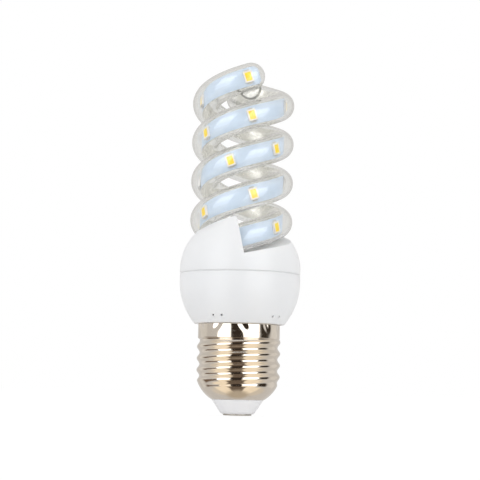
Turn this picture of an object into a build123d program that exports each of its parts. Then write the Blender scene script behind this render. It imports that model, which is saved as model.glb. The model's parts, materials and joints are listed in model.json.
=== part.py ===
"""Spiral LED bulb: a clear two-armed spiral tube with an LED strip in each arm, a white two-part
housing with its driver inside, and a 27 mm screw cap.

Frame: +Z runs up the bulb's axis from the tip of the centre contact, which is the origin. The front
of the bulb faces -Y. Angles go round the axis from the front towards +X, so both the tube's arms
and the cap's thread climb as the angle grows. Lengths are in millimetres and angles in degrees.
"""

import os
from math import cos, pi, radians, sin, sqrt, tan

from build123d import *

# Spiral tube
COIL_RADIUS = 11.81  # of the line through the middle of each arm
COIL_PITCH = 24.87  # climb of one arm in a full turn
COIL_SWEEP = 753  # angle that an arm winds through, from its lower end to its elbow
TUBE_RADIUS = 4.36
TUBE_WALL = 0.7
TUBE_ENTRY = 26  # angle of arm that lies inside the cover
BRIDGE_RADIUS = 3.6
BRIDGE_DROP = 3.4  # the bridge lies this much under the elbows' middles
BRIDGE_OVERLAP = 3.1  # how far the bridge reaches into each arm

# LED strips
STRIP_WIDTH = 5.7
STRIP_THICKNESS = 0.5
STRIP_OFFSET = 0.7  # from the arm's middle out to the strip's back
STRIP_TAIL = 4  # angle of strip that stands out of the arm's lower end
STRIP_TOP = 11  # angle of strip that runs on past the arm's last full section
STRIP_EDGE_GAP = 0.3  # between the strip's trimmed end and the elbow's bore
LED_LENGTH = 2.8  # along the strip
LED_WIDTH = 3.5  # across the strip
LED_HEIGHT = 0.7
LED_FRAME = 0.45  # rim round the phosphor
PHOSPHOR_DEPTH = 0.35
PHOSPHOR_RECESS = 0.03
LED_SEAT_GAP = 0.02
LED_FIRST_A = 80  # angle from the strip's tail to its first LED
LED_FIRST_B = 76
LED_LAST_A = 16  # angle from the last LED to the strip's top end
LED_LAST_B = 21
LED_DRIFT_A = (0, -6, -7, -11, -8, -17, -15, -13, -10, 0)  # hand-placed: off an even spacing
LED_DRIFT_B = (0, -3, -3, 0, -13, -14, -15, -20, -24, 0)

# Upper cover
HOUSING_OVERHANG = 2.83  # the housing's rim stands out this much past the coil
COVER_SKIRT_HEIGHT = 1.8  # straight wall above the seam
COVER_WALL = 1.4
DOME_SIDE_HEIGHT = 16.3  # half-axis of the dome's outline, seen from the front
DOME_FRONT_GAP = 0.15  # room between the tube and the dome's wall over it
DOME_TURN = -10  # the dome's long way is turned so that it covers the tube's ends
DOME_TOP_CUT = 0.3  # the roof's highest edge is cut flat this far under the ramp's end
DOME_RINGS = 6  # ovals that the dome is drawn through, above its foot
RAMP_HEIGHT = 5.3  # foot of each ramp above the seam
RAMP_FOOT_ANGLE = 3.4
RAMP_GAP = 1.27  # between the ramp and the arm above it
RAMP_SWEEP = (-90, 200)  # angles between which a ramp is cut, past both its steps
RAMP_INNER = 0.48  # a ramp's cut starts this far from the axis, inside the centre bore
STEP_LEAN = 12.1  # the step faces lean back by this angle, square to the arms
TUBE_HOLE_GAP = 0.15
CENTRE_BORE = 0.6  # radius of the small well where both ramps meet
LIP_THICKNESS = 1.0
LIP_DEPTH = 2.2
LIP_GAP = 0.1
SEAM_CHAMFER = 0.22

# Lower housing
BOWL_HEIGHT = 15.7  # from its flat bottom to the seam
BOWL_STRAIGHT = 2.2  # straight wall below the seam
BOWL_CURVE_HEIGHT = 20.2  # half-axis of the bowl's outline
BOWL_WALL = 1.5
BOWL_EDGE_ROUND = 0.4
VENT_RADIUS = 0.33
VENT_HEIGHT = 2.2  # above the bowl's bottom
VENT_PAIRS = 5
VENT_FIRST_ANGLE = -25.5
VENT_PAIR_ANGLE = 10.5
NECK_WALL = 1.2
NECK_GAP = 0.15
NECK_END = 6.5  # from the neck's lower end down to the shell's bottom edge
SHELF_WIDTH = 1.6
SHELF_THICKNESS = 1.4

# Screw cap, size 27
SHELL_HEIGHT = 23.6
SHELL_SHEET = 0.3
COLLAR_RADIUS = 12.85
COLLAR_HEIGHT = 4.5
THREAD_RADIUS = 13.1
THREAD_DEPTH = 0.85
THREAD_PITCH = 3.629
THREAD_RIDGE = 3.1  # width of the ridge at its root
THREAD_FOOT = (0.2, 0.75)  # point in the ridge's hollow foot: share of its depth and of its half width
THREAD_FLANK = (0.5, 0.58)  # the same for the point where the foot runs into the round crest
THREAD_END_DROP = 3.9  # from the shell's top edge down to the middle of the ridge's upper end
THREAD_START_HEIGHT = 3.37  # middle of the ridge's lower end, above the shell's bottom edge
THREAD_START_ANGLE = 62
TAPER_HEIGHT = 4.3
TAPER_BULGE = 0.28
INSULATOR_HEIGHT = 4.45
INSULATOR_TOP_RADIUS = 8.25
INSULATOR_TIP_RADIUS = 5.2
INSULATOR_TIP_ROUND = 1.2
INSULATOR_PLUG = 1.6  # how far it goes up inside the shell
INSULATOR_GAP = 0.1
CONTACT_RADIUS = 4.5
CONTACT_HEIGHT = 0.45
CONTACT_ROUND = 0.3
RIVET_RADIUS = 1.3
RIVET_GAP = 0.05

# Driver
BOARD_THICKNESS = 1.2
BOARD_GAP = 0.3
BOARD_DEPTH = 2.7  # board's top face below the seam
BULK_RADIUS, BULK_LENGTH, BULK_ROUND = 4.0, 12.0, 0.5
BULK_PLACE = (-5.6, 0.5)
FILM_SIZE, FILM_ROUND = (10.0, 5.0, 9.0), 0.6
FILM_PLACE = (4.6, 7.2)
COIL_CORE_RADIUS, COIL_CORE_LENGTH = 4.0, 9.0
COIL_WAIST, COIL_FLANGE = 1.0, 1.2
COIL_PLACE = (5.6, -5.6)
FUSE_RADIUS, FUSE_LENGTH, FUSE_ROUND = 1.6, 9.0, 0.5
FUSE_BODY_HEIGHT = 4.0  # of its lower end above the rivet
FUSE_LEAD_RADIUS = 0.35
RECTIFIER_SIZE = (4.8, 3.9, 1.4)
RECTIFIER_PLACE = (-6.0, -4.0)
CHIP_SIZE = (5.0, 3.9, 1.5)
CHIP_PLACE = (4.0, -2.0)
CHIP_CHAMFER = 0.25
WIRE_RADIUS = 0.5
NEUTRAL_RADIUS = 8.6  # distance of the neutral wire from the axis
NEUTRAL_ANGLE = 208
NEUTRAL_BEND = 1.5
NEUTRAL_HOLE_GAP = 0.1
NEUTRAL_END_GAP = 0.05  # between the wire's end and the shell
LEAD_RADIUS = 0.35
LEAD_SPACING = 3.0
LEAD_STRAIGHT = 2.0
LEAD_BEND = 1.2

# Heights worked out from the sizes above
INSULATOR_TOP_Z = CONTACT_HEIGHT + INSULATOR_HEIGHT
SHELL_TOP_Z = INSULATOR_TOP_Z + SHELL_HEIGHT
SEAM_Z = SHELL_TOP_Z + BOWL_HEIGHT
SHOULDER_Z = SEAM_Z + COVER_SKIRT_HEIGHT
RAMP_Z = SEAM_Z + RAMP_HEIGHT
COIL_Z = RAMP_Z - COIL_PITCH * RAMP_FOOT_ANGLE / 360 + RAMP_GAP + TUBE_RADIUS
BOARD_TOP_Z = SEAM_Z - BOARD_DEPTH
BOARD_Z = BOARD_TOP_Z - BOARD_THICKNESS
STEP_MID_Z = RAMP_Z + TUBE_RADIUS + RAMP_GAP - TUBE_WALL
ROOF_Z = RAMP_Z + COIL_PITCH / 2 - DOME_TOP_CUT

# Angles and radii worked out from the sizes above
TUBE_START = RAMP_FOOT_ANGLE - TUBE_ENTRY
TUBE_END = TUBE_START + COIL_SWEEP
STRIP_START = TUBE_START - STRIP_TAIL
STRIP_END = TUBE_END + STRIP_TOP
BORE_RADIUS = TUBE_RADIUS - TUBE_WALL
STRIP_FACE = STRIP_OFFSET + STRIP_THICKNESS
HOUSING_RADIUS = COIL_RADIUS + TUBE_RADIUS + HOUSING_OVERHANG
THREAD_ROOT = THREAD_RADIUS - THREAD_DEPTH
THREAD_TURNS = (SHELL_HEIGHT - THREAD_START_HEIGHT - THREAD_END_DROP) / THREAD_PITCH

UP = (Align.CENTER, Align.CENTER, Align.MIN)
DOWN = (Align.CENTER, Align.CENTER, Align.MAX)
FAR = 3 * HOUSING_RADIUS  # reach of cutting blocks, past everything


def at_angle(angle, radius, z):
    """Point at an angle from the front, a radius from the axis and a height."""
    return Vector(radius * sin(radians(angle)), -radius * cos(radians(angle)), z)


def coil_height(turn):
    """Height of an arm's middle line once it has turned this far from the front."""
    return COIL_Z + COIL_PITCH * turn / 360


def arm_plane(turn):
    """Plane across an arm: x points away from the bulb's axis, y up across the arm."""
    angle = radians(turn)
    climb = COIL_PITCH / (2 * pi * COIL_RADIUS)
    heading = Vector(cos(angle), sin(angle), climb)
    outward = Vector(sin(angle), -cos(angle), 0)
    return Plane(at_angle(turn, COIL_RADIUS, coil_height(turn)), x_dir=outward, z_dir=-heading)


def screw_path(pitch, radius, start, end, start_z):
    """Helix about the bulb's axis, between two angles."""
    helix = Helix(pitch, pitch * (end - start) / 360, radius)
    return (Pos(0, 0, start_z) * Rot(0, 0, start - 90) * helix).edges()[0]


def along_arm(section, start, end):
    """Solid swept along arm A's middle line from a section drawn in its arm plane."""
    path = screw_path(COIL_PITCH, COIL_RADIUS, start, end, coil_height(start))
    return sweep(arm_plane(start) * section, path=path, is_frenet=True)


def turned(shape):
    """The same shape for arm B, half a turn round."""
    return Rot(0, 0, 180) * shape


def revolved(*edges):
    """Solid of revolution about the bulb's axis from edges drawn as radius and height."""
    return revolve(Plane.XZ * make_face(Curve() + list(edges)), axis=Axis.Z)


def disc(radius, low, high):
    """Plain cylinder on the axis between two heights."""
    return Pos(0, 0, low) * Cylinder(radius, high - low, align=UP)


# Spiral tube and what it carries


def tube_form(radius, start, bridge_radius, bridge_reach):
    """Both arms with round elbows and the bridge between them, as one full form."""
    elbow = arm_plane(TUBE_END) * Sphere(radius, arc_size1=-90, arc_size2=0, align=None)
    arm = along_arm(Circle(radius), start, TUBE_END) + elbow
    bridge = Cylinder(bridge_radius, 2 * bridge_reach)
    bridge = Pos(0, 0, coil_height(TUBE_END) - BRIDGE_DROP) * Rot(0, 0, TUBE_END) * Rot(90, 0, 0) * bridge
    return arm + turned(arm) + bridge


def spiral_tube():
    reach = COIL_RADIUS - TUBE_RADIUS + BRIDGE_OVERLAP
    outside = tube_form(TUBE_RADIUS, TUBE_START, BRIDGE_RADIUS, reach)
    open_end = TUBE_START - STRIP_TAIL
    inside = tube_form(BORE_RADIUS, open_end, BRIDGE_RADIUS - TUBE_WALL, reach - TUBE_WALL)
    return outside - inside


def strip_section():
    middle = STRIP_OFFSET + STRIP_THICKNESS / 2
    return Pos(middle, 0) * Rectangle(STRIP_THICKNESS, STRIP_WIDTH)


def led_strip():
    """Strip in arm A. Its top end is trimmed to the round of the elbow."""
    strip = along_arm(strip_section(), STRIP_START, STRIP_END)
    room = Sphere(BORE_RADIUS - STRIP_EDGE_GAP)
    beyond = Box(4 * TUBE_RADIUS, 4 * TUBE_RADIUS, 2 * TUBE_RADIUS, align=DOWN)
    return strip - arm_plane(TUBE_END) * (beyond - room)


def led_turns(first, last, drift):
    """Angles of the LEDs on a strip: an even spacing, with each one's own small drift."""
    low, high = STRIP_START + first, STRIP_END - last
    step = (high - low) / (len(drift) - 1)
    return [low + step * i + off for i, off in enumerate(drift)]


def led_package():
    """White package with its window, its back on the plane x = 0, facing +x."""
    body = Box(LED_HEIGHT, LED_WIDTH, LED_LENGTH, align=(Align.MIN, Align.CENTER, Align.CENTER))
    return body - led_fill(PHOSPHOR_RECESS)


def led_fill(rise=0):
    """Phosphor in the package's window. It ends a little under the rim."""
    width, length = LED_WIDTH - 2 * LED_FRAME, LED_LENGTH - 2 * LED_FRAME
    depth = PHOSPHOR_DEPTH - PHOSPHOR_RECESS + rise
    fill = Box(depth, width, length, align=(Align.MIN, Align.CENTER, Align.CENTER))
    return Pos(LED_HEIGHT - PHOSPHOR_DEPTH, 0, 0) * fill


def on_strip(turn, piece):
    """Places an LED piece on the face of strip A."""
    return arm_plane(turn) * (Pos(STRIP_FACE + LED_SEAT_GAP, 0, 0) * piece)


# Upper cover


def dome_half_axis():
    """Half-axis of the dome's long outline, so that it closes over the tube at the step."""
    cover = COIL_RADIUS + TUBE_RADIUS + DOME_FRONT_GAP + COVER_WALL
    return (COIL_Z - SHOULDER_Z) / sqrt(1 - (cover / HOUSING_RADIUS) ** 2)


def dome_form(inset):
    """Dome with an oval plan: steep at front and back, where it holds the arms' ends."""
    rings = []
    half_axis = dome_half_axis()
    for i in range(DOME_RINGS + 1):
        rise = (ROOF_Z - SHOULDER_Z) * i / DOME_RINGS
        across = HOUSING_RADIUS * sqrt(1 - (rise / DOME_SIDE_HEIGHT) ** 2)
        along = HOUSING_RADIUS * sqrt(1 - (rise / half_axis) ** 2)
        plane = Pos(0, 0, SHOULDER_Z + rise) * Rot(0, 0, DOME_TURN)
        rings.append(plane * Ellipse(across - inset, along - inset))
    return loft(rings)


def above_ramp(inset):
    """Everything above ramp A, on its side of the two leaning step faces."""
    start, end = RAMP_SWEEP
    foot_z = RAMP_Z + COIL_PITCH * (start - RAMP_FOOT_ANGLE) / 360 - inset
    angle = radians(start)
    plane = Plane((0, 0, foot_z), x_dir=(sin(angle), -cos(angle), 0), z_dir=(-cos(angle), -sin(angle), 0))
    section = Pos(RAMP_INNER, 0) * Rectangle(HOUSING_RADIUS, COIL_PITCH, align=(Align.MIN, Align.MIN))
    path = screw_path(COIL_PITCH, COIL_RADIUS, start, end, foot_z)
    return sweep(plane * section, path=path, is_frenet=True) & beyond_steps(inset)


def beyond_steps(inset):
    """Side of the step faces towards +X: the front one leans to -X as it rises, the back one to +X."""
    low, high = SEAM_Z - FAR, ROOF_Z + FAR
    lean = tan(radians(STEP_LEAN))
    block = None
    for side, y in ((-1, 0), (1, FAR)):
        foot, top = (side * (lean * (z - STEP_MID_Z) + inset) for z in (low, high))
        outline = Polyline((foot, low), (top, high), (2 * FAR, high), (2 * FAR, low), close=True)
        half = Pos(0, y, 0) * extrude(Plane.XZ * make_face(outline), amount=FAR)
        block = half if block is None else block + half
    return block


def cover_form(inset):
    """Outer form of the cover, or its hollow if an inset is given."""
    form = dome_form(inset) + disc(HOUSING_RADIUS - inset, SEAM_Z, SHOULDER_Z)
    if inset:
        form -= Pos(0, 0, ROOF_Z - inset) * Box(FAR, FAR, FAR, align=UP)
    ramp = above_ramp(inset)
    form = form - ramp - turned(ramp)
    return form - disc(CENTRE_BORE, RAMP_Z + COIL_PITCH / 4 - inset, ROOF_Z + inset)


def upper_cover():
    lip_out = HOUSING_RADIUS - BOWL_WALL - LIP_GAP
    lip = disc(lip_out, SEAM_Z - LIP_DEPTH, SHOULDER_Z)
    lip += disc(HOUSING_RADIUS - COVER_WALL / 2, SEAM_Z, SHOULDER_Z)
    lip -= disc(lip_out - LIP_THICKNESS, SEAM_Z - FAR, SEAM_Z + FAR)
    hollow = cover_form(COVER_WALL)
    shell = cover_form(0) - hollow
    shell = chamfer(shell.edges().group_by(Axis.Z)[0].sort_by(SortBy.RADIUS)[-1], SEAM_CHAMFER)
    hole = along_arm(Circle(TUBE_RADIUS + TUBE_HOLE_GAP), TUBE_START, RAMP_FOOT_ANGLE + TUBE_ENTRY)
    return shell + lip - hole - turned(hole)


# Lower housing


def bowl_outline(inset):
    """Curved side of the bowl as radius and height, and the radius that it ends with."""
    drop = BOWL_HEIGHT - BOWL_STRAIGHT - inset
    side, down = HOUSING_RADIUS - inset, BOWL_CURVE_HEIGHT - inset
    top = SEAM_Z - BOWL_STRAIGHT
    middle, foot = (side * sqrt(1 - (part * drop / down) ** 2) for part in (0.5, 1))
    arc = ThreePointArc((foot, top - drop), (middle, top - drop / 2), (side, top))
    return arc, foot


def neck_radius(outer):
    return outer - SHELL_SHEET - NECK_GAP


def lower_housing():
    arc, foot = bowl_outline(0)
    rim = HOUSING_RADIUS
    bowl = revolved(
        Line((0, SHELL_TOP_Z), (foot, SHELL_TOP_Z)), arc,
        Line((rim, SEAM_Z - BOWL_STRAIGHT), (rim, SEAM_Z)), Line((rim, SEAM_Z), (0, SEAM_Z)),
        Line((0, SEAM_Z), (0, SHELL_TOP_Z)),
    )
    bowl = fillet(bowl.edges().group_by(Axis.Z)[0], BOWL_EDGE_ROUND)
    bowl = chamfer(bowl.edges().group_by(Axis.Z)[-1], SEAM_CHAMFER)
    arc, foot = bowl_outline(BOWL_WALL)
    inner = HOUSING_RADIUS - BOWL_WALL
    floor = SHELL_TOP_Z + BOWL_WALL
    hollow = revolved(
        Line((0, floor), (foot, floor)), arc,
        Line((inner, SEAM_Z - BOWL_STRAIGHT), (inner, SEAM_Z)), Line((inner, SEAM_Z), (0, SEAM_Z)),
        Line((0, SEAM_Z), (0, floor)),
    )
    shelf = disc(FAR, BOARD_Z - SHELF_THICKNESS, BOARD_Z) - disc(inner - BOARD_GAP - SHELF_WIDTH, 0, FAR)
    collar_z = SHELL_TOP_Z - COLLAR_HEIGHT + NECK_GAP
    neck = disc(neck_radius(COLLAR_RADIUS), collar_z, floor)
    neck += disc(neck_radius(THREAD_ROOT), INSULATOR_TOP_Z + NECK_END, floor)
    passage = disc(neck_radius(THREAD_ROOT) - NECK_WALL, 0, floor)
    body = bowl + neck - (hollow - shelf) - passage
    vents = [vent(angle) for angle in vent_angles()]
    return body - vents - neutral_hole()


def vent_angles():
    middles = [VENT_FIRST_ANGLE + 360 / VENT_PAIRS * i for i in range(VENT_PAIRS)]
    return [middle + side * VENT_PAIR_ANGLE / 2 for middle in middles for side in (-1, 1)]


def vent(angle):
    reach = Pos(0, 0, SHELL_TOP_Z + VENT_HEIGHT) * Rot(0, 0, angle) * Rot(90, 0, 0)
    return reach * Cylinder(VENT_RADIUS, FAR, align=UP)


def neutral_hole():
    z = SHELL_TOP_Z - COLLAR_HEIGHT / 2
    hole = Pos(0, 0, NEUTRAL_RADIUS - WIRE_RADIUS) * Cylinder(WIRE_RADIUS + NEUTRAL_HOLE_GAP, FAR, align=UP)
    return Pos(0, 0, z) * Rot(0, 0, NEUTRAL_ANGLE) * Rot(90, 0, 0) * hole


# Screw cap


def shell_form(inset):
    """Turned form of the shell: collar, thread root and rounded taper."""
    root, collar = THREAD_ROOT - inset, COLLAR_RADIUS - inset
    bottom, top = INSULATOR_TOP_Z, SHELL_TOP_Z
    taper_z, step_z = bottom + TAPER_HEIGHT, top - COLLAR_HEIGHT
    tip = INSULATOR_TOP_RADIUS - inset
    side = THREAD_DEPTH
    middle = ((root + tip) / 2 + TAPER_BULGE, (taper_z + bottom) / 2 - TAPER_BULGE)
    return revolved(
        Line((0, bottom), (tip, bottom)),
        ThreePointArc((tip, bottom), middle, (root, taper_z)),
        Line((root, taper_z), (root, step_z - side)), Line((root, step_z - side), (collar, step_z)),
        Line((collar, step_z), (collar, top)), Line((collar, top), (0, top)), Line((0, top), (0, bottom)),
    )


def thread_ridge(inset):
    """Round ridge of the rolled thread, trimmed to the taper at its lower end."""
    root, crest, half = THREAD_ROOT - inset, THREAD_RADIUS - inset, THREAD_RIDGE / 2
    low_foot, high_foot, low_flank, high_flank = (
        (root + share * THREAD_DEPTH, side * width * half)
        for share, width in (THREAD_FOOT, THREAD_FLANK) for side in (-1, 1)
    )
    buried = root - SHELL_SHEET / 2
    section = make_face(Curve() + [
        ThreePointArc((root, -half), low_foot, low_flank),
        ThreePointArc(low_flank, (crest, 0), high_flank),
        ThreePointArc(high_flank, high_foot, (root, half)),
        Polyline((root, half), (buried, half), (buried, -half), (root, -half)),
    ])
    start = radians(THREAD_START_ANGLE)
    start_z = INSULATOR_TOP_Z + THREAD_START_HEIGHT
    plane = Plane((0, 0, start_z), x_dir=(sin(start), -cos(start), 0), z_dir=(-cos(start), -sin(start), 0))
    end = THREAD_START_ANGLE + 360 * THREAD_TURNS
    path = screw_path(THREAD_PITCH, THREAD_ROOT, THREAD_START_ANGLE, end, start_z)
    ridge = sweep(plane * section, path=path, is_frenet=True)
    low, high = INSULATOR_TOP_Z + TAPER_HEIGHT / 2, INSULATOR_TOP_Z + TAPER_HEIGHT + THREAD_RIDGE / 3
    inner, outer = root - THREAD_DEPTH, crest + SHELL_SHEET / 3
    room = revolved(
        Line((0, low), (inner, low)),
        ThreePointArc((inner, low), (root + THREAD_DEPTH / 2, (low + 2 * high) / 3), (outer, high)),
        Polyline((outer, high), (outer, SHELL_TOP_Z), (0, SHELL_TOP_Z), (0, low)),
    )
    return ridge & room


def screw_shell():
    return shell_form(0) + thread_ridge(0) - shell_form(SHELL_SHEET)


def cap_insulator():
    plug = INSULATOR_TOP_RADIUS - SHELL_SHEET - INSULATOR_GAP
    hole = RIVET_RADIUS + RIVET_GAP
    rim = INSULATOR_TOP_RADIUS - INSULATOR_GAP
    low, top, inside = CONTACT_HEIGHT, INSULATOR_TOP_Z, INSULATOR_TOP_Z + INSULATOR_PLUG
    cone = revolved(Polyline(
        (hole, low), (INSULATOR_TIP_RADIUS, low), (rim, top), (plug, top), (plug, inside), (hole, inside),
        close=True,
    ))
    tip = cone.edges().group_by(Axis.Z)[0].sort_by(SortBy.RADIUS)[-1]
    return fillet(tip, INSULATOR_TIP_ROUND)


def centre_contact():
    plate = disc(CONTACT_RADIUS, 0, CONTACT_HEIGHT)
    plate = fillet(plate.edges().group_by(Axis.Z)[0], CONTACT_ROUND)
    return plate + disc(RIVET_RADIUS, CONTACT_HEIGHT / 2, INSULATOR_TOP_Z + INSULATOR_PLUG)


# Driver


def driver_board():
    radius = HOUSING_RADIUS - BOWL_WALL - BOARD_GAP
    return disc(radius, BOARD_Z, BOARD_TOP_Z)


def under_board(place, shape):
    return Pos(*place, BOARD_Z) * shape


def electrolytic_capacitor():
    can = Cylinder(BULK_RADIUS, BULK_LENGTH, align=DOWN)
    return under_board(BULK_PLACE, fillet(can.edges().filter_by(GeomType.CIRCLE), BULK_ROUND))


def film_capacitor():
    block = Box(*FILM_SIZE, align=DOWN)
    return under_board(FILM_PLACE, fillet(block.edges().filter_by(Axis.Z), FILM_ROUND))


def inductor():
    core = Cylinder(COIL_CORE_RADIUS, COIL_CORE_LENGTH, align=DOWN)
    groove = COIL_CORE_LENGTH - 2 * COIL_FLANGE
    ring = Cylinder(COIL_CORE_RADIUS + COIL_WAIST, groove) - Cylinder(COIL_CORE_RADIUS - COIL_WAIST, groove)
    return under_board(COIL_PLACE, core - Pos(0, 0, -COIL_CORE_LENGTH / 2) * ring)


def fuse_resistor():
    """Body in the neck, with one lead down to the centre contact and one up to the board."""
    low = INSULATOR_TOP_Z + INSULATOR_PLUG
    body = Pos(0, 0, low + FUSE_BODY_HEIGHT) * Cylinder(FUSE_RADIUS, FUSE_LENGTH, align=UP)
    body = fillet(body.edges().filter_by(GeomType.CIRCLE), FUSE_ROUND)
    return body + disc(FUSE_LEAD_RADIUS, low, BOARD_Z)


def on_board(place, size):
    block = Pos(*place, BOARD_TOP_Z) * Box(*size, align=UP)
    return chamfer(block.faces().sort_by(Axis.Z)[-1].edges(), CHIP_CHAMFER)


def wire(points, radius, bend):
    """Round wire along straight runs joined by arcs."""
    path = FilletPolyline(*points, radius=bend)
    start = path.edges()[0]
    return sweep(Plane(start @ 0, z_dir=start % 0) * Circle(radius), path=path)


def neutral_wire():
    z = SHELL_TOP_Z - COLLAR_HEIGHT / 2
    inside = COLLAR_RADIUS - SHELL_SHEET - NEUTRAL_END_GAP
    stops = ((NEUTRAL_RADIUS, BOARD_Z), (NEUTRAL_RADIUS, z), (inside, z))
    return wire([at_angle(NEUTRAL_ANGLE, *stop) for stop in stops], WIRE_RADIUS, NEUTRAL_BEND)


def strip_leads():
    """Wire pair from the tail of strip A down to the board."""
    plane = arm_plane(STRIP_START)
    pair = []
    for side in (-1, 1):
        middle = STRIP_OFFSET + STRIP_THICKNESS / 2
        start = plane.from_local_coords(Vector(middle, side * LEAD_SPACING / 2, 0))
        corner = plane.from_local_coords(Vector(middle, side * LEAD_SPACING / 2, LEAD_STRAIGHT))
        foot = Vector(corner.X, corner.Y, BOARD_TOP_Z)
        pair.append(wire([start, corner, foot], LEAD_RADIUS, LEAD_BEND))
    return pair[0] + pair[1]


def all_pieces():
    pieces = {
        "spiral_tube": spiral_tube(),
        "upper_cover": upper_cover(),
        "lower_housing": lower_housing(),
        "screw_shell": screw_shell(),
        "cap_insulator": cap_insulator(),
        "centre_contact": centre_contact(),
        "driver_board": driver_board(),
        "electrolytic_capacitor": electrolytic_capacitor(),
        "film_capacitor": film_capacitor(),
        "inductor": inductor(),
        "fuse_resistor": fuse_resistor(),
        "bridge_rectifier": on_board(RECTIFIER_PLACE, RECTIFIER_SIZE),
        "driver_chip": on_board(CHIP_PLACE, CHIP_SIZE),
        "neutral_wire": neutral_wire(),
    }
    strip, leads = led_strip(), strip_leads()
    arms = (("a", LED_FIRST_A, LED_LAST_A, LED_DRIFT_A), ("b", LED_FIRST_B, LED_LAST_B, LED_DRIFT_B))
    for arm, first, last, drift in arms:
        pieces[f"led_strip_{arm}"] = turned(strip) if arm == "b" else strip
        pieces[f"strip_lead_{arm}"] = turned(leads) if arm == "b" else leads
        for number, turn in enumerate(led_turns(first, last, drift), start=1):
            package, fill = on_strip(turn, led_package()), on_strip(turn, led_fill())
            pieces[f"led_{arm}_{number:02d}"] = turned(package) if arm == "b" else package
            pieces[f"phosphor_{arm}_{number:02d}"] = turned(fill) if arm == "b" else fill
    return pieces


os.makedirs("parts", exist_ok=True)
for name, shape in all_pieces().items():
    export_step(shape, f"parts/{name}.step")
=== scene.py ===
"""Looks of the spiral LED bulb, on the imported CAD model.

Frame as in part.py: +Z runs up the bulb's axis from the tip of its contact, the front faces -Y, and
angles go round the axis from the front towards +X. Sizes are named in millimetres and angles in degrees,
as in part.py, and meshes are scaled to metres when they are made. Scales of noise are in waves a metre.
"""

import json
from math import cos, pi, radians, sin, sqrt

import bmesh
import bpy
import numpy as np
from mathutils import Matrix, Vector


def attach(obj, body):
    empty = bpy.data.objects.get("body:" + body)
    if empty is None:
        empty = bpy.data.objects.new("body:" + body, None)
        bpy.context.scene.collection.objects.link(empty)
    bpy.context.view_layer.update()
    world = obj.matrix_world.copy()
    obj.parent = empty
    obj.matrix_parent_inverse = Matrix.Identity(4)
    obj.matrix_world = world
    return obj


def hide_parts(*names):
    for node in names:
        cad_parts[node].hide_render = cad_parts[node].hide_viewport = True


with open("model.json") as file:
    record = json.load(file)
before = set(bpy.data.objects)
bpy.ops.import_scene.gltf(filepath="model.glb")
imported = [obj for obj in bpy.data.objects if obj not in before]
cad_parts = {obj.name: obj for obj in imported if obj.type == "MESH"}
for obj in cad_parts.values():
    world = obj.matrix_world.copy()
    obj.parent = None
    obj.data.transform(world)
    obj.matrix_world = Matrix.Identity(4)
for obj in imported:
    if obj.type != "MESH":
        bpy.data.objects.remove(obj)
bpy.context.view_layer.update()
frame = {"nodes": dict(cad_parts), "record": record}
nodes = frame["nodes"]
MM = 0.001
WELD = 1e-7  # metres: points of a mesh that are nearer than this become one

# Clear tube: two arms on a helix, a half sphere at each arm's elbow, and a bridge between the elbows
COIL_RADIUS, COIL_PITCH, COIL_Z = 11.81, 24.87, 54.895
TUBE_RADIUS, BORE_RADIUS = 4.36, 3.66
TUBE_WALL = TUBE_RADIUS - BORE_RADIUS
TUBE_START, TUBE_END = -22.6, 730.4
BORE_OVERRUN = 4  # the bore starts this many degrees before the tube, which leaves its lower end open
BRIDGE_RADIUS, BRIDGE_DROP, BRIDGE_REACH = 3.6, 3.4, 10.55
TUBE_SEGMENTS, TUBE_STEP, BRIDGE_RINGS = 48, 2.5, 25
ELBOW_RISE, ELBOW_RINGS = 88, 14  # the half sphere ends in a small flat face
TUBE_CREASE = 40

# LEDs along the strips, and the solder at their terminals
STRIP_START, STRIP_END, STRIP_FACE = -26.6, 741.4, 1.2
LED_WIDTH = 3.5
LEDS_A = (80, 16, (0, -6, -7, -11, -8, -17, -15, -13, -10, 0))  # first, last, and each one's drift
LEDS_B = (76, 21, (0, -3, -3, 0, -13, -14, -15, -20, -24, 0))
SOLDER_HALF, SOLDER_ROUND, SOLDER_EASE = 0.8, 0.12, 0.75  # half length, and how its two ends shrink
SOLDER_REACH, SOLDER_TOE = 0.5, 0.05
SOLDER_SLOPE = ((0, 0), (0.42, 0), (0.3, 0.16), (0.14, 0.33))  # rise from the strip, and reach from the LED
SOLDER_CREASE = 50

# Screw shell
SHELL_LOW, SHELL_TOP, SHELL_SHEET = 4.9, 28.5, 0.3
SHELL_AROUND, SHELL_ROWS, SHELL_INNER_ROWS, SHELL_CREASE = 288, 225, 60, 45
SHELL_LEAST = 0.1  # least sheet left where the outer face dips
COLLAR_RADIUS, COLLAR_LOW, COLLAR_STEP = 12.85, 24.0, 0.85
# The collar's step starts this far inside the thread's root, and ends this far above COLLAR_LOW
COLLAR_SINK, COLLAR_OVERRUN = 0.3, 0.1
COLLAR_ROUNDING, TAPER_ROUNDING = 0.12, 0.35
THREAD_ROOT, THREAD_DEPTH, THREAD_PITCH = 12.25, 0.85, 3.629
THREAD_START_ANGLE, THREAD_START_Z, THREAD_TURNS = 62, 8.27, 4.5
THREAD_LEAD, THREAD_FADE = 0.12, 0.3  # turns in which the crest rises before and after its start
THREAD_WINDINGS = range(-1, 6)  # every winding that can pass a height of the shell
TAPER_POINTS = ((8.25, 4.9), (10.53, 6.77), (12.25, 9.2))
RIM_ROLL, RIM_HEIGHT, TIP_ROLL, TIP_HEIGHT = 0.12, 0.3, 0.1, 0.2  # how the sheet's two edges curl in
DIMPLE_ANGLE, DIMPLE_SPACING, DIMPLE_Z = 5, 36, 27.9  # crimps that hold the shell to the neck
DIMPLE_DEPTH, DIMPLE_LONG, DIMPLE_SHORT = 0.36, 1.35, 0.7
DIMPLE_TILTS = (-48, -70, 25, -15, 50, -60, 10, 40, -30, 42)  # slant of each crimp
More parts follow.
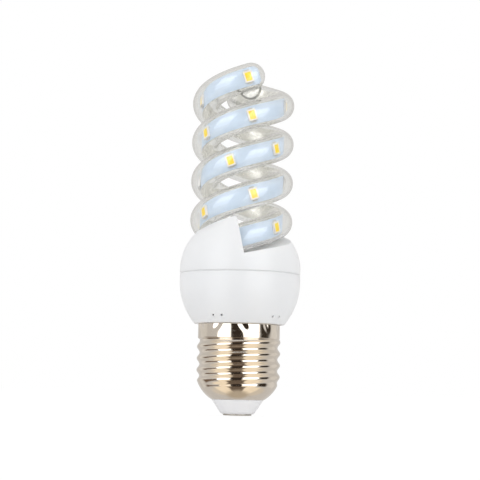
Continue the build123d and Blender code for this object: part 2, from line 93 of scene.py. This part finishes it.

# Camera, fitted to the photo
CAMERA_DISTANCE, CAMERA_HEIGHT, TARGET_Z = 481, 7.7, 55.2
CAMERA_LENS, SENSOR = 114.5, 36
CAMERA_ROLL = 1.2
CAMERA_SIDE = -0.28  # the bulb stands this much right of the picture's middle
CAMERA_CLIP = (0.01, 50)  # metres

# Lamps and floor
LAMP_TARGET = Vector((0, 0, 55)) * MM
LAMP_DISTANCE, LAMP_SIZE = 0.9, 0.7  # metres
FLOOR_HALF, FLOOR_DROP = 4000, 0.2
FLOOR_GLOW = 0.8  # how far its own colour replaces the lit one, for rays that see it directly


# Mesh helpers


def add_mesh(name, verts, faces, ride="root"):
    """New object from points in millimetres."""
    mesh = bpy.data.meshes.new(name)
    mesh.from_pydata([tuple(v) for v in np.asarray(verts, float) * MM], [], faces)
    mesh.update()
    obj = bpy.data.objects.new(name, mesh)
    bpy.context.scene.collection.objects.link(obj)
    if ride:
        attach(obj, ride)
    return obj


def smooth(obj, angle):
    """Smooth shading, with edges sharper than the angle kept as creases."""
    mesh = obj.data
    mesh.polygons.foreach_set("use_smooth", [True] * len(mesh.polygons))
    mesh.set_sharp_from_angle(angle=radians(angle))
    mesh.update()
    return obj


def outward_faces(obj):
    """Joins double points and turns every face outward."""
    work = bmesh.new()
    work.from_mesh(obj.data)
    bmesh.ops.remove_doubles(work, verts=work.verts, dist=WELD)
    bmesh.ops.recalc_face_normals(work, faces=work.faces)
    work.to_mesh(obj.data)
    work.free()
    return obj


def joined(obj, other, operation):
    """Boolean of two meshes, kept in the first."""
    modifier = obj.modifiers.new("join", "BOOLEAN")
    modifier.operation, modifier.solver, modifier.object = operation, "EXACT", other
    bpy.context.view_layer.update()
    mesh = bpy.data.meshes.new_from_object(obj.evaluated_get(bpy.context.evaluated_depsgraph_get()))
    obj.modifiers.remove(modifier)
    obj.data = mesh
    bpy.data.objects.remove(other)
    return obj


def skin(rings, closed=False):
    """Faces that join rings of equal length, with a cap at both ends or the last ring joined to the first."""
    count, size = len(rings), len(rings[0])
    faces = []
    for i in range(count if closed else count - 1):
        n = (i + 1) % count
        for j in range(size):
            k = (j + 1) % size
            faces.append((i * size + j, i * size + k, n * size + k, n * size + j))
    if not closed:
        faces.append(tuple(range(size))[::-1])
        faces.append(tuple((count - 1) * size + j for j in range(size)))
    return faces


def arm_frame(turn):
    """Middle point of arm A at an angle, and the directions outward, up across it and along it."""
    a = radians(turn)
    climb = COIL_PITCH / (2 * pi * COIL_RADIUS)
    middle = np.array((COIL_RADIUS * sin(a), -COIL_RADIUS * cos(a), COIL_Z + COIL_PITCH * turn / 360))
    outward = np.array((sin(a), -cos(a), 0))
    up = np.array((-climb * cos(a), -climb * sin(a), 1)) / sqrt(1 + climb ** 2)
    along = np.array((cos(a), sin(a), climb)) / sqrt(1 + climb ** 2)
    return middle, outward, up, along


def circle(middle, radius, across, up):
    """Ring of points round the tube or the bridge."""
    angles = [2 * pi * j / TUBE_SEGMENTS for j in range(TUBE_SEGMENTS)]
    return [middle + radius * (cos(a) * across + sin(a) * up) for a in angles]


def half_turn(verts):
    """Arm B's points from arm A's."""
    return np.asarray(verts) * (-1, -1, 1)


# Clear tube


def arm_rings(radius, start):
    """Arm A with its elbow's half sphere."""
    rings = []
    for turn in np.linspace(start, TUBE_END, int((TUBE_END - start) / TUBE_STEP) + 1):
        middle, outward, up, along = arm_frame(turn)
        rings.append(circle(middle, radius, outward, up))
    middle, outward, up, along = arm_frame(TUBE_END)
    for rise in np.linspace(0, ELBOW_RISE, ELBOW_RINGS + 1)[1:]:
        across, ahead = radius * cos(radians(rise)), radius * sin(radians(rise))
        rings.append(circle(middle + along * ahead, across, outward, up))
    return rings


def bridge_rings(radius, reach):
    """Bar across the top, between the two elbows."""
    z = COIL_Z + COIL_PITCH * TUBE_END / 360 - BRIDGE_DROP
    a = radians(TUBE_END)
    along, side, up = np.array((sin(a), -cos(a), 0)), np.array((cos(a), sin(a), 0)), np.array((0, 0, 1))
    return [circle(along * x + up * z, radius, side, up) for x in np.linspace(-reach, reach, BRIDGE_RINGS)]


def tube_body(name, radius, start, bridge_radius, reach):
    """Both arms and the bridge as one solid."""
    arm, bridge = arm_rings(radius, start), bridge_rings(bridge_radius, reach)
    faces = skin(arm)
    first = outward_faces(add_mesh(name, np.concatenate(arm), faces))
    second = outward_faces(add_mesh(name + "_b", half_turn(np.concatenate(arm)), faces))
    bar = outward_faces(add_mesh(name + "_bridge", np.concatenate(bridge), skin(bridge)))
    return joined(joined(first, bar, "UNION"), second, "UNION")


def make_tube():
    outside = tube_body("clear_tube", TUBE_RADIUS, TUBE_START, BRIDGE_RADIUS, BRIDGE_REACH)
    bore_start, bore_reach = TUBE_START - BORE_OVERRUN, BRIDGE_REACH - TUBE_WALL
    inside = tube_body("bore", BORE_RADIUS, bore_start, BRIDGE_RADIUS - TUBE_WALL, bore_reach)
    tube = joined(outside, inside, "DIFFERENCE")
    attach(tube, "root")
    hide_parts("spiral_tube")
    return smooth(tube, TUBE_CREASE)


# Solder at the LEDs' terminals


def led_turns(first, last, drift):
    """Angle of each LED along its arm: even steps between the first and the last, each with its drift."""
    low, high = STRIP_START + first, STRIP_END - last
    return [low + (high - low) * i / (len(drift) - 1) + off for i, off in enumerate(drift)]


def solder_fillet(turn, side):
    """Rounded wedge of solder at one end of an LED in arm A."""
    middle, outward, up, along = arm_frame(turn)
    near = side * LED_WIDTH / 2
    inner = SOLDER_HALF - SOLDER_ROUND
    rings = []
    for x, ease in ((-SOLDER_HALF, SOLDER_EASE), (-inner, 1), (inner, 1), (SOLDER_HALF, SOLDER_EASE)):
        toe = near + side * SOLDER_REACH * ease
        outline = [(rise * ease, near + side * reach) for rise, reach in SOLDER_SLOPE]
        outline += [(SOLDER_TOE, toe), (0, toe)]
        rings.append([
            middle + outward * (STRIP_FACE + rise) + up * across - along * x for rise, across in outline
        ])
    return rings


def make_solder():
    verts, faces = [], []
    for leds, turned in ((LEDS_A, False), (LEDS_B, True)):
        for turn in led_turns(*leds):
            for side in (-1, 1):
                rings = solder_fillet(turn, side)
                points = np.concatenate(rings)
                faces += [tuple(i + len(verts) for i in face) for face in skin(rings)]
                verts += list(half_turn(points) if turned else points)
    return smooth(outward_faces(add_mesh("solder", verts, faces)), SOLDER_CREASE)


# Screw shell


def circle_through(points):
    """Centre and radius of the circle through three points."""
    (ax, ay), (bx, by), (cx, cy) = points
    lines = np.array(((bx - ax, by - ay), (cx - ax, cy - ay))) * 2
    sums = (bx ** 2 - ax ** 2 + by ** 2 - ay ** 2, cx ** 2 - ax ** 2 + cy ** 2 - ay ** 2)
    centre = np.linalg.solve(lines, sums)
    return centre[0], centre[1], sqrt((ax - centre[0]) ** 2 + (ay - centre[1]) ** 2)


def eased(value, low, high):
    """0 below a range and 1 above it, with a smooth rise between."""
    share = np.clip((value - low) / (high - low), 0, 1)
    return share * share * (3 - 2 * share)


def blend(first, second, room):
    """Smaller of two values, rounded where they meet."""
    share = np.clip(0.5 + 0.5 * (second - first) / room, 0, 1)
    return second + (first - second) * share - room * share * (1 - share)


def taper_radius(z):
    """Shell below the thread, on a circle through three points and straight above it."""
    x, y, radius = circle_through(TAPER_POINTS)
    return x + np.sqrt(radius ** 2 - np.minimum(z - y, 0) ** 2)


def thread_radius(turn, z):
    """Rolled thread: a smooth wave, with its crest fading in and out at its two ends."""
    height = np.zeros_like(z)
    for winding in THREAD_WINDINGS:
        wound = (turn - THREAD_START_ANGLE) / 360 + winding
        crest = THREAD_START_Z + THREAD_PITCH * wound
        fade_in = eased(wound, -THREAD_LEAD, THREAD_FADE)
        fade_out = 1 - eased(wound, THREAD_TURNS - THREAD_FADE, THREAD_TURNS)
        offset = np.clip((z - crest) / THREAD_PITCH, -0.5, 0.5)
        height = np.maximum(height, fade_in * fade_out * np.cos(pi * offset) ** 2)
    return THREAD_ROOT + THREAD_DEPTH * height


def shell_radius(turn, z):
    """Outer face of the screw shell at angles and heights."""
    step = eased(z, COLLAR_LOW - COLLAR_STEP, COLLAR_LOW + COLLAR_OVERRUN)
    collar = THREAD_ROOT - COLLAR_SINK + (COLLAR_RADIUS - THREAD_ROOT + COLLAR_SINK) * step
    radius = -blend(-thread_radius(turn, z), -collar, COLLAR_ROUNDING)
    radius = blend(radius, taper_radius(z), TAPER_ROUNDING)
    for i, tilt in enumerate(DIMPLE_TILTS):
        around = (turn - DIMPLE_ANGLE - DIMPLE_SPACING * i + 180) % 360 - 180
        x, y, slant = np.radians(around) * COLLAR_RADIUS, z - DIMPLE_Z, radians(tilt)
        along, across = x * cos(slant) + y * sin(slant), y * cos(slant) - x * sin(slant)
        away = (along / DIMPLE_LONG) ** 2 + (across / DIMPLE_SHORT) ** 2
        radius = radius - DIMPLE_DEPTH * np.exp(-away / 2)
    rim = RIM_ROLL * eased(z, SHELL_TOP - RIM_HEIGHT, SHELL_TOP)
    tip = TIP_ROLL * (1 - eased(z, SHELL_LOW, SHELL_LOW + TIP_HEIGHT))
    return radius - rim - tip


def make_shell():
    """Screw shell as one closed skin: up its outer face and down its inner one."""
    turns = np.arange(SHELL_AROUND) * 360 / SHELL_AROUND
    a = np.radians(turns)
    rings = []
    for z in np.linspace(SHELL_LOW, SHELL_TOP, SHELL_ROWS):
        heights = np.full(SHELL_AROUND, z)
        radius = shell_radius(turns, heights)
        rings.append(np.stack((radius * np.sin(a), -radius * np.cos(a), heights), 1))
    for z in np.linspace(SHELL_TOP, SHELL_LOW, SHELL_INNER_ROWS):
        heights = np.full(SHELL_AROUND, z)
        body = min(COLLAR_RADIUS if z > COLLAR_LOW else THREAD_ROOT, taper_radius(z)) - SHELL_SHEET
        radius = np.minimum(body, shell_radius(turns, heights) - SHELL_LEAST)
        rings.append(np.stack((radius * np.sin(a), -radius * np.cos(a), heights), 1))
    faces = skin(rings, closed=True)
    shell = outward_faces(add_mesh("rolled_shell", np.concatenate(rings), faces))
    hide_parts("screw_shell")
    return smooth(shell, SHELL_CREASE)


# Node helpers


def opaque(color):
    """Plain colour with its alpha, or another node's output as it is."""
    return (*color, 1) if isinstance(color, tuple) else color


def node(tree, kind, inputs=None, **settings):
    """New node with its settings made, and each input linked to an output or set to a plain value."""
    made = tree.nodes.new(kind)
    for key, value in settings.items():
        setattr(made, key, value)
    for key, value in (inputs or {}).items():
        if isinstance(value, bpy.types.NodeSocket):
            tree.links.new(value, made.inputs[key])
        else:
            made.inputs[key].default_value = value
    return made


def calculated(tree, operation, first, second):
    return node(tree, "ShaderNodeMath", {0: first, 1: second}, operation=operation).outputs[0]


def times(tree, first, second):
    return calculated(tree, "MULTIPLY", first, second)


def added(tree, first, second):
    return calculated(tree, "ADD", first, second)


def reached(tree, depth, count):
    """1 where a light path has taken at least this many steps of one kind."""
    return calculated(tree, "GREATER_THAN", depth, count - 0.5)


def over(tree, below, factor, color):
    """Lays a colour over another by a factor."""
    inputs = {"Factor": factor, "A": opaque(below), "B": opaque(color)}
    return node(tree, "ShaderNodeMix", inputs, data_type="RGBA").outputs["Result"]


def instead(tree, surface, factor, other):
    """Surface that gives way to another shader by a factor."""
    return node(tree, "ShaderNodeMixShader", {"Fac": factor, 1: surface, 2: other}).outputs[0]


def noise(tree, scale, detail=3, roughness=0.5, stretch=(1, 1, 1)):
    """Noise in object space."""
    place = node(tree, "ShaderNodeTexCoord").outputs["Object"]
    vector = node(tree, "ShaderNodeMapping", {"Vector": place, "Scale": stretch}).outputs["Vector"]
    inputs = {"Vector": vector, "Scale": scale, "Detail": detail, "Roughness": roughness}
    return node(tree, "ShaderNodeTexNoise", inputs).outputs["Fac"]


def ramp(tree, factor, stops):
    """Colours between two stops."""
    made = node(tree, "ShaderNodeValToRGB", {"Fac": factor})
    for element, (at, color) in zip(made.color_ramp.elements, stops):
        element.position = at
        element.color = opaque(color)
    return made.outputs["Color"]


def vary(tree, shader, socket, factor, stops):
    tree.links.new(ramp(tree, factor, stops), shader.inputs[socket])


def grey(value):
    return (value, value, value)


def shades(base, darker, lighter):
    """Stops for a colour that varies by these shares."""
    return [
        (0.35, tuple(c * (1 - darker) for c in base)),
        (0.65, tuple(min(1, c * (1 + lighter)) for c in base)),
    ]


def glosses(roughness, spread):
    """Stops for a roughness that varies both ways by a share."""
    return [(0.3, grey(roughness * (1 - spread))), (0.7, grey(min(1, roughness * (1 + spread))))]


def bump(tree, shader, factor, strength, relief=0.02, edge=0):
    """Relief of a height in millimetres, on edges that look rounded by a radius if one is given."""
    inputs = {"Height": factor, "Distance": relief * MM, "Strength": strength}
    if edge:
        inputs["Normal"] = node(tree, "ShaderNodeBevel", {"Radius": edge * MM}, samples=6).outputs["Normal"]
    tree.links.new(node(tree, "ShaderNodeBump", inputs).outputs["Normal"], shader.inputs["Normal"])


# Materials

# Clear tube: the tint of its walls, the steps at which a light path in it ends, and the painted grey glow it
# ends in
WALL_TINT, WALL_DENSITY = (0.62, 0.62, 0.58), 125
MIRRORED_STEPS, LIT_STEPS = 3, 9
PAINTED_GLOW_SEEN, PAINTED_GLOW_AS_LIGHT = (0.45, 0.45, 0.43), (1.7, 1.7, 1.75)
SHADOW_TINT = (0.92, 0.92, 0.92)


def new_material(name, base, roughness, metallic=0.0, **sockets):
    """Principled material, with its plain values set on the shader's own sockets."""
    material = bpy.data.materials.new(name)
    material.use_nodes = True
    shader = material.node_tree.nodes["Principled BSDF"]
    shader.inputs["Base Color"].default_value = opaque(base)
    shader.inputs["Roughness"].default_value = roughness
    shader.inputs["Metallic"].default_value = metallic
    for socket, value in sockets.items():
        shader.inputs[socket.replace("_", " ")].default_value = value
    return material, material.node_tree, shader


def tube_material():
    """Clear plastic, faintly grey through its walls. Light paths that stay in it too long end in a painted
    grey glow, dim where seen and bright as light on matt surfaces.
    """
    material, tree, shader = new_material(
        "clear_plastic", (0.985, 0.985, 0.98), 0.0, IOR=1.55, Transmission_Weight=1.0)
    vary(tree, shader, "Roughness", noise(tree, 120, detail=2), [(0.3, grey(0.05)), (0.8, grey(0.09))])
    bump(tree, shader, noise(tree, 160, detail=1, stretch=(1, 1, 0.5)), 0.15, relief=0.03)
    walls = node(tree, "ShaderNodeVolumeAbsorption", {"Color": opaque(WALL_TINT), "Density": WALL_DENSITY})
    rays = node(tree, "ShaderNodeLightPath").outputs
    clear = node(tree, "ShaderNodeBsdfTransparent", {"Color": opaque(SHADOW_TINT)})
    surface = instead(tree, shader.outputs[0], rays["Is Shadow Ray"], clear.outputs[0])
    matt = reached(tree, rays["Diffuse Depth"], 1)
    late = times(tree, reached(tree, rays["Ray Depth"], LIT_STEPS), matt)
    ended = added(tree, reached(tree, rays["Glossy Depth"], MIRRORED_STEPS), late)
    # Painted light: an emitted grey glow ends long paths, dim where seen and bright where it lights matt
    # surfaces
    painted_glow = over(tree, PAINTED_GLOW_SEEN, matt, PAINTED_GLOW_AS_LIGHT)
    surface = instead(tree, surface, ended, node(tree, "ShaderNodeEmission", {"Color": painted_glow}).outputs[0])
    output = tree.nodes["Material Output"]
    tree.links.new(surface, output.inputs["Surface"])
    tree.links.new(walls.outputs[0], output.inputs["Volume"])
    return material


def plastic_material(name, base, roughness, shade=0.02, grain=2600, edge=0.3, milky=0.0):
    """Moulded plastic: faint cloudiness in colour, fine satin grain and, if milky, light passed inside."""
    material, tree, shader = new_material(
        name, base, roughness, IOR=1.49,
        Subsurface_Weight=milky, Subsurface_Scale=0.003, Subsurface_Radius=(1.0, 0.95, 0.9))
    vary(tree, shader, "Base Color", noise(tree, 70, detail=4), shades(base, shade, shade / 2))
    vary(tree, shader, "Roughness", noise(tree, 300, detail=5), glosses(roughness, 0.15))
    bump(tree, shader, noise(tree, grain, detail=3), 0.35, edge=edge)
    return material


def nickel_material():
    """Bright plating with a faint cloud and fine streaks round the shell."""
    material, tree, shader = new_material("nickel_plate", (0.70, 0.64, 0.57), 0.09, metallic=1.0)
    cloud = noise(tree, 180, detail=5, roughness=0.6)
    vary(tree, shader, "Base Color", cloud, [(0.3, (0.66, 0.60, 0.52)), (0.7, (0.74, 0.68, 0.61))])
    streak = noise(tree, 500, detail=4, stretch=(1, 1, 5))
    vary(tree, shader, "Roughness", streak, [(0.35, grey(0.06)), (0.7, grey(0.15))])
    bump(tree, shader, noise(tree, 420, detail=3), 0.5)
    return material


def strip_material():
    """Flexible strip: a pale face, which looks away from the bulb's axis, and a grey foil back with a faint
    painted glow.
    """
    # The emission colour is the foil back's painted glow
    material, tree, shader = new_material(
        "strip_film", (0.62, 0.74, 0.90), 0.35, IOR=1.5, Emission_Color=(0.95, 0.94, 0.88, 1))
    geometry = node(tree, "ShaderNodeNewGeometry").outputs
    flat = node(tree, "ShaderNodeVectorMath", {0: geometry["Position"], 1: (1, 1, 0)}, operation="MULTIPLY")
    radial = node(tree, "ShaderNodeVectorMath", {0: flat.outputs[0]}, operation="NORMALIZE")
    compared = {0: radial.outputs[0], 1: geometry["True Normal"]}
    facing = node(tree, "ShaderNodeVectorMath", compared, operation="DOT_PRODUCT").outputs["Value"]

    def by_side(back, face):
        return ramp(tree, facing, [(0.45, back), (0.55, face)])

    mottle = ramp(tree, noise(tree, 220, detail=4), [(0.3, grey(0.93)), (0.7, grey(1.0))])
    tints = {"Factor": 1.0, "A": by_side((0.78, 0.77, 0.73), (0.70, 0.83, 0.98)), "B": mottle}
    color = node(tree, "ShaderNodeMix", tints, data_type="RGBA", blend_type="MULTIPLY").outputs["Result"]
    gloss = ramp(tree, noise(tree, 400, detail=4), [(0.3, grey(0.28)), (0.7, grey(0.42))])
    tree.links.new(color, shader.inputs["Base Color"])
    tree.links.new(by_side(grey(0.7), grey(0.0)), shader.inputs["Metallic"])
    # Painted light: the foil back glows faintly, standing in for light that reaches it round the coil
    tree.links.new(by_side(grey(0.16), grey(0.0)), shader.inputs["Emission Strength"])
    tree.links.new(times(tree, gloss, by_side(grey(0.72), grey(1.0))), shader.inputs["Roughness"])
    bump(tree, shader, noise(tree, 900, detail=3), 0.4)
    return material


def phosphor_material():
    """Yellow fill of an LED's window, with a slight painted glow that stands in for its fluorescence."""
    material, tree, shader = new_material(
        "phosphor", (1.0, 0.70, 0.02), 0.3, Emission_Color=(1.0, 0.68, 0.01, 1), Emission_Strength=0.15)
    grains = noise(tree, 700, detail=3)
    vary(tree, shader, "Base Color", grains, [(0.35, (1.0, 0.67, 0.008)), (0.65, (1.0, 0.80, 0.06))])
    bump(tree, shader, noise(tree, 3000, detail=2), 0.4)
    return material


def speckled_material(name, base, roughness, metallic=0.0, depth=0.12, scale=900):
    """General finish for small pieces: mottled colour, uneven gloss and a light bump."""
    material, tree, shader = new_material(name, base, roughness, metallic)
    vary(tree, shader, "Base Color", noise(tree, scale, detail=4), shades(base, depth, depth))
    vary(tree, shader, "Roughness", noise(tree, scale / 2, detail=3), glosses(roughness, 0.2))
    bump(tree, shader, noise(tree, scale * 2, detail=2), 0.4, relief=0.03)
    return material


def dress(materials):
    """Gives each CAD node the material of its slot."""
    for entry in frame["record"]["subparts"]:
        obj = nodes[entry["node"]]
        material = materials[entry["material_slot"]]
        for slot in obj.material_slots:
            slot.material = material
        if not obj.material_slots:
            obj.data.materials.append(material)


# Studio

# Zones of the room that reflections show, by azimuth: how soft their edges are, and their ranges in degrees
TURN_ZONES = {
    "boxes": (2, (-62, -22), (13, 59)),
    "flanks": (6, (102, 138), (-138, -102)),
    "front half": (10, (-122, 122)),
    "left": (7, (-116, -62)),
    "right": (6, (63, 94)),
    "front": (6, (-94, 91)),
    "middle": (3, (-23, 13)),
    "wide middle": (6, (-40, 31)),
}
# The same by height, from -1 straight down to 1 straight up
HEIGHT_ZONES = {
    "steep": (0.1, (0.66, 1.2), (-1.2, -0.66)),
    "low": (0.06, (-0.5, -0.08)),
    "level": (0.08, (-0.43, 0.43)),
    "box height": (0.04, (-0.42, 0.56)),
    "straight down": (0.04, (-1.2, -0.95)),
}
# Colours painted on the room's grey in this order, each where its zones meet
ROOM_GREY = (0.72, 0.70, 0.68)
BOX_WHITE = (2.6, 2.6, 2.6)
ROOM_LAYERS = (
    (("flanks", "level"), (0.86, 0.84, 0.81)),
    (("front half", "steep"), (0.82, 0.75, 0.65)),
    (("left", "low"), (0.20, 0.14, 0.10)),
    (("right", "level"), (0.05, 0.04, 0.03)),
    (("front", "steep"), (1.22, 1.07, 0.85)),
    (("boxes",), (1.25, 1.09, 0.86)),
    (("boxes", "box height"), BOX_WHITE),
    (("middle",), (0.045, 0.033, 0.025)),
    (("wide middle", "steep"), (0.18, 0.135, 0.10)),
    (("straight down",), (0.60, 0.52, 0.41)),
)
# What other rays see of the world, where it isn't a plain reflection
SEEN_BY_CAMERA = (1.0, 1.0, 1.0)
SEEN_THROUGH_TUBE = (0.80, 0.80, 0.79)
MIRRORED_IN_TUBE = (0.80, 0.79, 0.77)
LIGHT_THROUGH_TUBE = (2.05, 2.05, 2.1)
LIGHT_ON_MATT = (0.96, 0.965, 0.975)


def direction_parts(tree):
    """Azimuth from the front in degrees and height of the world direction, as two outputs."""
    place = node(tree, "ShaderNodeTexCoord").outputs["Generated"]
    split = node(tree, "ShaderNodeSeparateXYZ", {0: place}).outputs
    angle = calculated(tree, "ARCTAN2", split["X"], times(tree, split["Y"], -1))
    return times(tree, angle, 180 / pi), split["Z"]


def zone(tree, value, soft, *ranges):
    """1 in any of the ranges of a value and 0 outside them, with soft edges."""
    found = None
    for low, high in ranges:
        ends = []
        for start, end in ((low - soft, low + soft), (high + soft, high - soft)):
            inputs = {"Value": value, "From Min": start, "From Max": end}
            made = node(tree, "ShaderNodeMapRange", inputs, interpolation_type="SMOOTHSTEP")
            ends.append(made.outputs["Result"])
        band = times(tree, *ends)
        found = band if found is None else added(tree, found, band)
    return found


def make_world():
    """White studio. Reflections show two tall soft boxes in front, with dark and cream walls round them."""
    world = bpy.data.worlds.new("studio")
    bpy.context.scene.world = world
    world.use_nodes = True
    world.cycles.sampling_method = "NONE"  # so that each kind of ray sees the colour meant for it
    tree = world.node_tree
    turn, height = direction_parts(tree)
    zones = {name: zone(tree, turn, *values) for name, values in TURN_ZONES.items()}
    zones.update({name: zone(tree, height, *values) for name, values in HEIGHT_ZONES.items()})
    boxes = times(tree, zones["boxes"], zones["box height"])
    room = ROOM_GREY
    for names, color in ROOM_LAYERS:
        where = zones[names[0]]
        for name in names[1:]:
            where = times(tree, where, zones[name])
        room = over(tree, room, where, color)
    rays = node(tree, "ShaderNodeLightPath").outputs
    through = rays["Is Transmission Ray"]
    mirrored = times(tree, reached(tree, rays["Glossy Depth"], 1), through)
    lighting = times(tree, reached(tree, rays["Diffuse Depth"], 1), through)
    seen = over(tree, room, rays["Is Camera Ray"], SEEN_BY_CAMERA)
    seen = over(tree, seen, through, SEEN_THROUGH_TUBE)
    seen = over(tree, seen, mirrored, over(tree, MIRRORED_IN_TUBE, boxes, BOX_WHITE))
    seen = over(tree, seen, lighting, LIGHT_THROUGH_TUBE)
    seen = over(tree, seen, rays["Is Diffuse Ray"], LIGHT_ON_MATT)
    background = tree.nodes["Background"]
    tree.links.new(seen, background.inputs["Color"])
    background.inputs["Strength"].default_value = 1.0


def make_floor():
    """Pale floor under the bulb. The camera sees it white, with the bulb's soft shadow on it."""
    corners = [(x * FLOOR_HALF, y * FLOOR_HALF, 0) for x, y in ((-1, -1), (1, -1), (1, 1), (-1, 1))]
    floor = add_mesh("floor", corners, [(0, 1, 2, 3)], ride=None)
    floor.location.z = -FLOOR_DROP * MM
    material, tree, shader = new_material("floor", grey(0.86), 0.9)
    rays = node(tree, "ShaderNodeLightPath").outputs
    surface = shader.outputs[0]
    for ray, color in (("Is Camera Ray", grey(1.06)), ("Is Transmission Ray", (0.8, 0.8, 0.79))):
        glow = node(tree, "ShaderNodeEmission", {"Color": opaque(color)}).outputs[0]
        surface = instead(tree, surface, times(tree, rays[ray], FLOOR_GLOW), glow)
    tree.links.new(surface, tree.nodes["Material Output"].inputs["Surface"])
    floor.data.materials.append(material)
    floor.visible_glossy = False  # the room is what reflections show


def make_light(name, turn, height, power, color):
    """Soft area lamp that looks at the bulb from a direction. Reflections show the room's boxes instead."""
    data = bpy.data.lights.new(name, "AREA")
    data.shape, data.size, data.energy, data.color = "DISK", LAMP_SIZE, power, color
    lamp = bpy.data.objects.new(name, data)
    a, e = radians(turn), radians(height)
    lamp.location = Vector((sin(a) * cos(e), -cos(a) * cos(e), sin(e))) * LAMP_DISTANCE + LAMP_TARGET
    lamp.rotation_euler = (LAMP_TARGET - lamp.location).to_track_quat("-Z", "Y").to_euler()
    lamp.visible_glossy = False
    bpy.context.scene.collection.objects.link(lamp)


def make_camera():
    data = bpy.data.cameras.new("camera")
    data.lens, data.sensor_width, data.sensor_fit = CAMERA_LENS, SENSOR, "HORIZONTAL"
    data.clip_start, data.clip_end = CAMERA_CLIP
    camera = bpy.data.objects.new("camera", data)
    bpy.context.scene.collection.objects.link(camera)
    camera.location = Vector((CAMERA_SIDE, -CAMERA_DISTANCE, CAMERA_HEIGHT)) * MM
    look = Vector((CAMERA_SIDE, 0, TARGET_Z)) * MM - camera.location
    turn = look.to_track_quat("-Z", "Y").to_matrix().to_4x4() @ Matrix.Rotation(radians(CAMERA_ROLL), 4, "Z")
    camera.rotation_euler = turn.to_euler()
    bpy.context.scene.camera = camera


make_camera()
make_world()
make_floor()
make_light("key_left", turn=-36, height=35, power=0.7, color=(0.95, 0.97, 1.0))
make_light("key_right", turn=30, height=30, power=0.65, color=(1.0, 0.98, 0.94))

tube = make_tube()
shell = make_shell()
solder = make_solder()

materials = {
    "clear_tube": tube_material(),
    "strip_face": strip_material(),
    "led_package": plastic_material("led_frame", (1.0, 0.94, 0.87), 0.4, shade=0.03, grain=4000, edge=0.1),
    "phosphor": phosphor_material(),
    "white_housing": plastic_material("white_plastic", (0.865, 0.87, 0.875), 0.38, milky=0.3),
    "nickel_shell": nickel_material(),
    "cap_insulator": plastic_material("insulator_plastic", (0.93, 0.935, 0.955), 0.32),
    "centre_contact": speckled_material("contact_metal", (0.42, 0.40, 0.37), 0.5, metallic=1.0),
    "circuit_board": speckled_material("board_laminate", (0.05, 0.18, 0.08), 0.4),
    "capacitor_sleeve": speckled_material("sleeve", (0.02, 0.025, 0.035), 0.3),
    "film_capacitor": speckled_material("film_epoxy", (0.38, 0.05, 0.03), 0.35),
    "ferrite": speckled_material("ferrite", (0.05, 0.05, 0.05), 0.7),
    "resistor": speckled_material("resistor_lacquer", (0.15, 0.28, 0.22), 0.5),
    "black_epoxy": speckled_material("epoxy", (0.02, 0.02, 0.02), 0.6),
    "wire_sleeve": speckled_material("wire_sleeve", (0.70, 0.70, 0.67), 0.45),
}
dress(materials)
tube.data.materials.append(materials["clear_tube"])
shell.data.materials.append(materials["nickel_shell"])
solder.data.materials.append(speckled_material("solder", (0.72, 0.72, 0.70), 0.35, metallic=0.8))

bpy.context.scene.view_settings.view_transform = "Standard"
